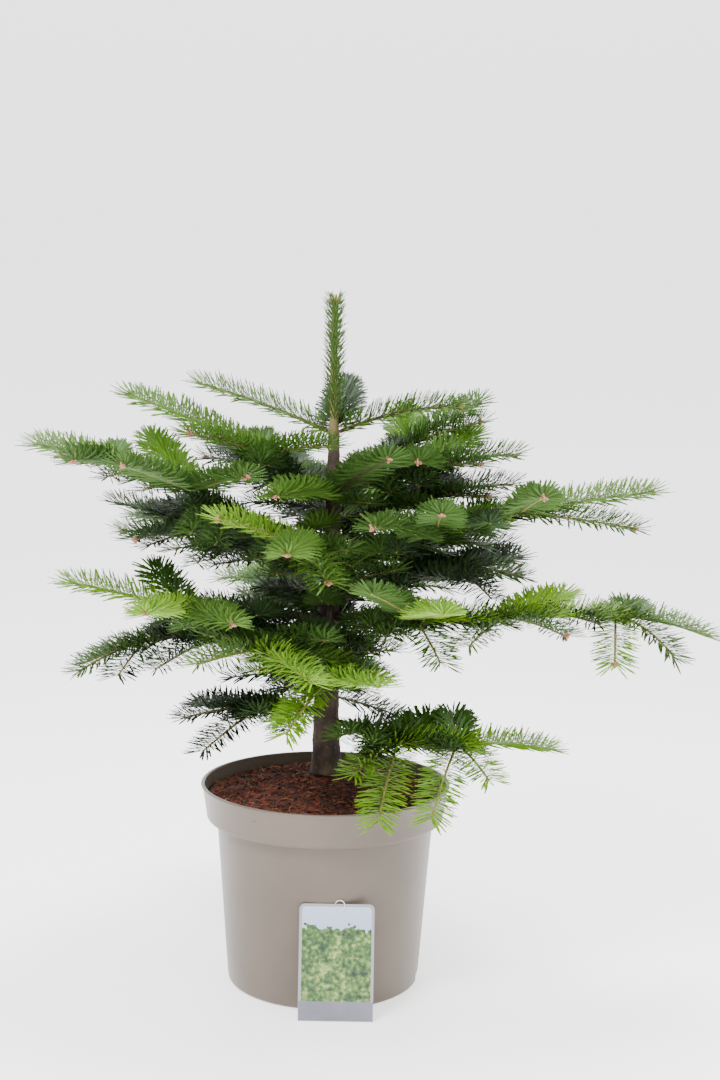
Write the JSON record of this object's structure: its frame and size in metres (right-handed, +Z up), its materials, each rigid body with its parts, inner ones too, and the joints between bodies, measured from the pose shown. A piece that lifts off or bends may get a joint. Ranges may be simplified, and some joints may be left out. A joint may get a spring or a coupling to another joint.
{
  "type": "potted fir tree",
  "caption": "Young nordmann fir in a round taupe nursery pot, with a plant label leaning on the pot; stands on its flat underside.",
  "frame": {"origin": "middle of the flat underside of the pot", "axes": "+Z up along the trunk, +X to the right and +Y to the back when the side with the plant label is the front"},
  "size_m": [0.7598, 0.5983, 0.7683],
  "materials": {
    "pot": "smooth taupe plastic with a soft gloss",
    "soil": "loose reddish-brown coir and peat",
    "label": "thin printed plastic card",
    "bark": "dark grey-brown knobbly bark",
    "needles": "glossy green needles"
  },
  "bodies": {
    "root": {"pot": "pot", "soil": "soil", "plant_label": "label", "trunk": "bark", "leader_needles": "needles", "bough_upper_left": "bark", "bough_upper_right": "bark", "bough_upper_back_right": "bark", "bough_upper_back_left": "bark", "bough_middle_left": "bark", "bough_middle_left_low": "bark", "bough_middle_right": "bark", "bough_middle_right_high": "bark", "bough_middle_right_low": "bark", "bough_middle_front": "bark", "bough_middle_back": "bark", "bough_middle_back_left": "bark", "bough_middle_back_right": "bark", "bough_lower_left": "bark", "bough_lower_left_low": "bark", "bough_lower_left_front": "bark", "bough_lower_right": "bark", "bough_lower_front": "bark", "bough_lower_back_right": "bark", "bough_lower_back": "bark", "bough_base_left": "bark", "bough_base_right": "bark", "bough_base_back": "bark", "mass_crown_left": "needles", "mass_crown_right": "needles", "mass_crown_back": "needles", "mass_upper_left": "needles", "mass_upper_front_right": "needles", "mass_upper_front_left": "needles", "mass_upper_right": "needles", "mass_upper_back_right": "needles", "mass_upper_back_left": "needles", "mass_middle_left": "needles", "mass_middle_left_low": "needles", "mass_middle_right": "needles", "mass_middle_right_high": "needles", "mass_middle_right_low": "needles", "mass_middle_front": "needles", "mass_middle_back": "needles", "mass_middle_back_left": "needles", "mass_middle_back_right": "needles", "mass_lower_left": "needles", "mass_lower_left_low": "needles", "mass_lower_left_front": "needles", "mass_lower_right": "needles", "mass_lower_front": "needles", "mass_lower_back_right": "needles", "mass_lower_back": "needles", "mass_base_left": "needles", "mass_base_right": "needles", "mass_base_back": "needles"}
  },
  "joints": []
}
